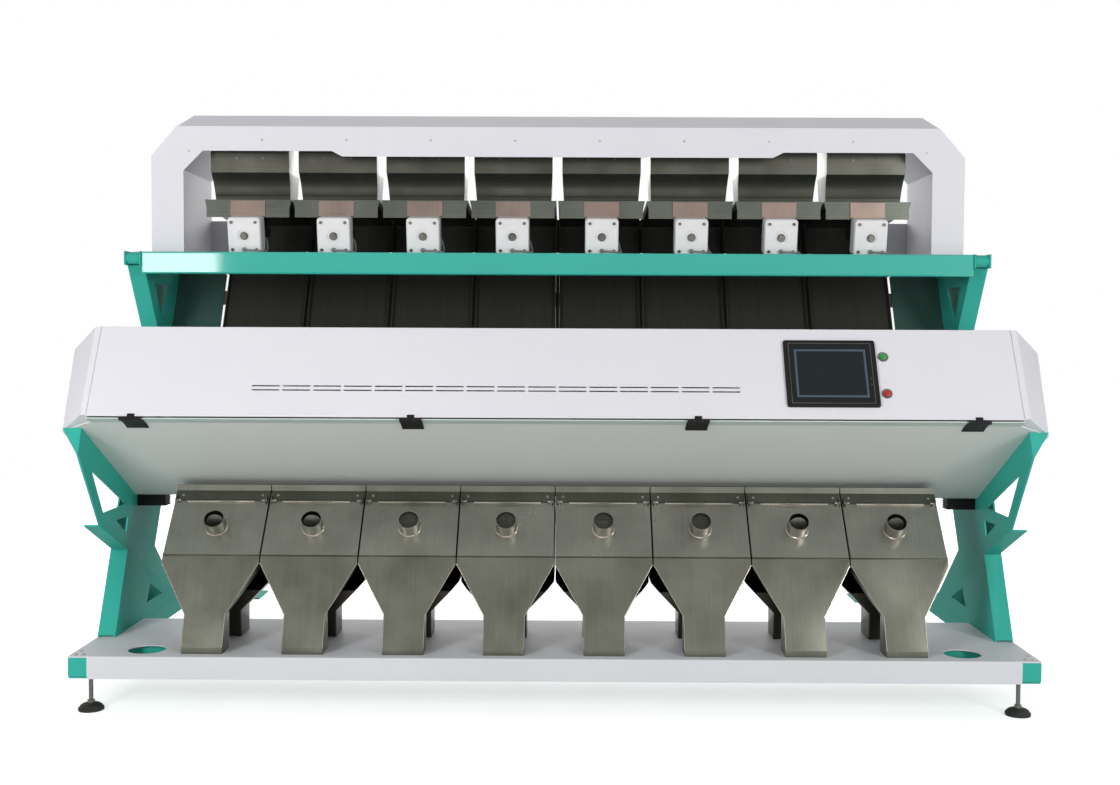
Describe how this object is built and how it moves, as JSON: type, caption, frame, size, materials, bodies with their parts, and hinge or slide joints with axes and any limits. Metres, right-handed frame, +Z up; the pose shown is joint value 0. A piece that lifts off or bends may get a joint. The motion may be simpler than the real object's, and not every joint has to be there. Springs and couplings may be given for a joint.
{
  "type": "optical colour sorter",
  "caption": "Free-standing optical colour sorter: vibrating feed trays over inclined chutes, optical box with drop-front door, stainless outlet hoppers with hinged lids.",
  "frame": {"origin": "middle of the whole machine on the floor", "axes": "+X to the right seen from the operator's side, +Y to the rear, +Z up"},
  "size_m": [3.08, 1.537, 1.994],
  "materials": {
    "green_paint": "satin green powder coat",
    "white_paint": "satin white powder coat",
    "platform_paint": "pale grey powder coat",
    "grey_paint": "mid grey powder coat",
    "stainless": "brushed stainless sheet",
    "zinc": "bright zinc plate",
    "dark_steel": "dark matte coat",
    "bar_steel": "grey coat",
    "spring_steel": "blued spring steel",
    "cast_white": "white painted casting",
    "black_plastic": "matte black plastic",
    "camera_body": "grey anodised",
    "lead_jacket": "grey cable jacket",
    "pad_rubber": "black rubber",
    "view_glass": "clear flat glass",
    "display_glass": "dark display glass",
    "lamp_tube": "opal diffuser tube",
    "start_green": "green push cap",
    "stop_red": "red push cap"
  },
  "bodies": {
    "machine_frame": {"base_frame": "green_paint", "platform_plate": "platform_paint", "side_frame_left": "green_paint", "side_frame_right": "green_paint", "cross_beam": "green_paint", "foot_pads": "pad_rubber", "foot_studs": "zinc", "hood_shell": "white_paint", "hood_fascia": "white_paint", "feed_hoppers": "stainless", "gate_plates": "stainless", "feeder_rail": "dark_steel", "vibrator_cases": "cast_white", "vibrator_covers": "cast_white", "vibrator_nuts": "zinc", "feeder_screws": "zinc", "vibrator_leads": "lead_jacket", "tray_springs": "spring_steel", "chutes": "dark_steel", "chute_bars": "bar_steel", "chute_side_panels": "white_paint", "box_shell": "white_paint", "box_underside": "grey_paint", "end_caps": "white_paint", "door_sill": "grey_paint", "hinge_bases": "black_plastic", "hinge_pins": "zinc", "viewing_glass": "view_glass", "lamps": "lamp_tube", "inner_rails": "bar_steel", "cameras": "camera_body", "rear_box": "white_paint", "valve_blocks": "bar_steel", "air_blocks": "black_plastic", "front_hoppers": "stainless", "rear_hoppers": "stainless", "pivot_bolts": "zinc"},
    "door": {"front_door": "white_paint", "hinge_leaves": "black_plastic", "screen_frame": "black_plastic", "screen_glass": "display_glass", "button_bezels": "zinc"},
    "start_cap": {"start_button": "start_green"},
    "stop_cap": {"stop_button": "stop_red"},
    "feed_tray_1": {"tray_1": "stainless"},
    "hopper_lid_1": {"lid_1": "stainless"},
    "feed_tray_2": {"tray_2": "stainless"},
    "hopper_lid_2": {"lid_2": "stainless"},
    "feed_tray_3": {"tray_3": "stainless"},
    "hopper_lid_3": {"lid_3": "stainless"},
    "feed_tray_4": {"tray_4": "stainless"},
    "hopper_lid_4": {"lid_4": "stainless"},
    "feed_tray_5": {"tray_5": "stainless"},
    "hopper_lid_5": {"lid_5": "stainless"},
    "feed_tray_6": {"tray_6": "stainless"},
    "hopper_lid_6": {"lid_6": "stainless"},
    "feed_tray_7": {"tray_7": "stainless"},
    "hopper_lid_7": {"lid_7": "stainless"},
    "feed_tray_8": {"tray_8": "stainless"},
    "hopper_lid_8": {"lid_8": "stainless"}
  },
  "joints": [
    {"name": "door_hinge", "type": "hinge", "parent": "machine_frame", "child": "door", "pos_m": [0, -0.7625, 0.942], "axis": [1, 0, 0], "range_deg": [0, 75]},
    {"name": "start_press", "type": "slide", "parent": "door", "child": "start_cap", "axis": [0, 0.8786, -0.4775], "range_m": [0, 0.004], "stiffness_N_per_m": 800},
    {"name": "stop_press", "type": "slide", "parent": "door", "child": "stop_cap", "axis": [0, 0.8786, -0.4775], "range_m": [0, 0.004], "stiffness_N_per_m": 800},
    {"name": "tray_1_throw", "type": "slide", "parent": "machine_frame", "child": "feed_tray_1", "axis": [0, 0.9971, -0.0767], "range_m": [-0.001, 0.001], "stiffness_N_per_m": 20000},
    {"name": "tray_2_throw", "type": "slide", "parent": "machine_frame", "child": "feed_tray_2", "axis": [0, 0.9971, -0.0767], "range_m": [-0.001, 0.001], "stiffness_N_per_m": 20000},
    {"name": "tray_3_throw", "type": "slide", "parent": "machine_frame", "child": "feed_tray_3", "axis": [0, 0.9971, -0.0767], "range_m": [-0.001, 0.001], "stiffness_N_per_m": 20000},
    {"name": "tray_4_throw", "type": "slide", "parent": "machine_frame", "child": "feed_tray_4", "axis": [0, 0.9971, -0.0767], "range_m": [-0.001, 0.001], "stiffness_N_per_m": 20000},
    {"name": "tray_5_throw", "type": "slide", "parent": "machine_frame", "child": "feed_tray_5", "axis": [0, 0.9971, -0.0767], "range_m": [-0.001, 0.001], "stiffness_N_per_m": 20000},
    {"name": "tray_6_throw", "type": "slide", "parent": "machine_frame", "child": "feed_tray_6", "axis": [0, 0.9971, -0.0767], "range_m": [-0.001, 0.001], "stiffness_N_per_m": 20000},
    {"name": "tray_7_throw", "type": "slide", "parent": "machine_frame", "child": "feed_tray_7", "axis": [0, 0.9971, -0.0767], "range_m": [-0.001, 0.001], "stiffness_N_per_m": 20000},
    {"name": "tray_8_throw", "type": "slide", "parent": "machine_frame", "child": "feed_tray_8", "axis": [0, 0.9971, -0.0767], "range_m": [-0.001, 0.001], "stiffness_N_per_m": 20000},
    {"name": "lid_1_pivot", "type": "hinge", "parent": "machine_frame", "child": "hopper_lid_1", "pos_m": [-1.12, -0.36266, 0.64443], "axis": [-1, 0, 0], "range_deg": [0, 60]},
    {"name": "lid_2_pivot", "type": "hinge", "parent": "machine_frame", "child": "hopper_lid_2", "pos_m": [-0.8, -0.36266, 0.64443], "axis": [-1, 0, 0], "range_deg": [0, 60]},
    {"name": "lid_3_pivot", "type": "hinge", "parent": "machine_frame", "child": "hopper_lid_3", "pos_m": [-0.48, -0.36266, 0.64443], "axis": [-1, 0, 0], "range_deg": [0, 60]},
    {"name": "lid_4_pivot", "type": "hinge", "parent": "machine_frame", "child": "hopper_lid_4", "pos_m": [-0.16, -0.36266, 0.64443], "axis": [-1, 0, 0], "range_deg": [0, 60]},
    {"name": "lid_5_pivot", "type": "hinge", "parent": "machine_frame", "child": "hopper_lid_5", "pos_m": [0.16, -0.36266, 0.64443], "axis": [-1, 0, 0], "range_deg": [0, 60]},
    {"name": "lid_6_pivot", "type": "hinge", "parent": "machine_frame", "child": "hopper_lid_6", "pos_m": [0.48, -0.36266, 0.64443], "axis": [-1, 0, 0], "range_deg": [0, 60]},
    {"name": "lid_7_pivot", "type": "hinge", "parent": "machine_frame", "child": "hopper_lid_7", "pos_m": [0.8, -0.36266, 0.64443], "axis": [-1, 0, 0], "range_deg": [0, 60]},
    {"name": "lid_8_pivot", "type": "hinge", "parent": "machine_frame", "child": "hopper_lid_8", "pos_m": [1.12, -0.36266, 0.64443], "axis": [-1, 0, 0], "range_deg": [0, 60]}
  ]
}
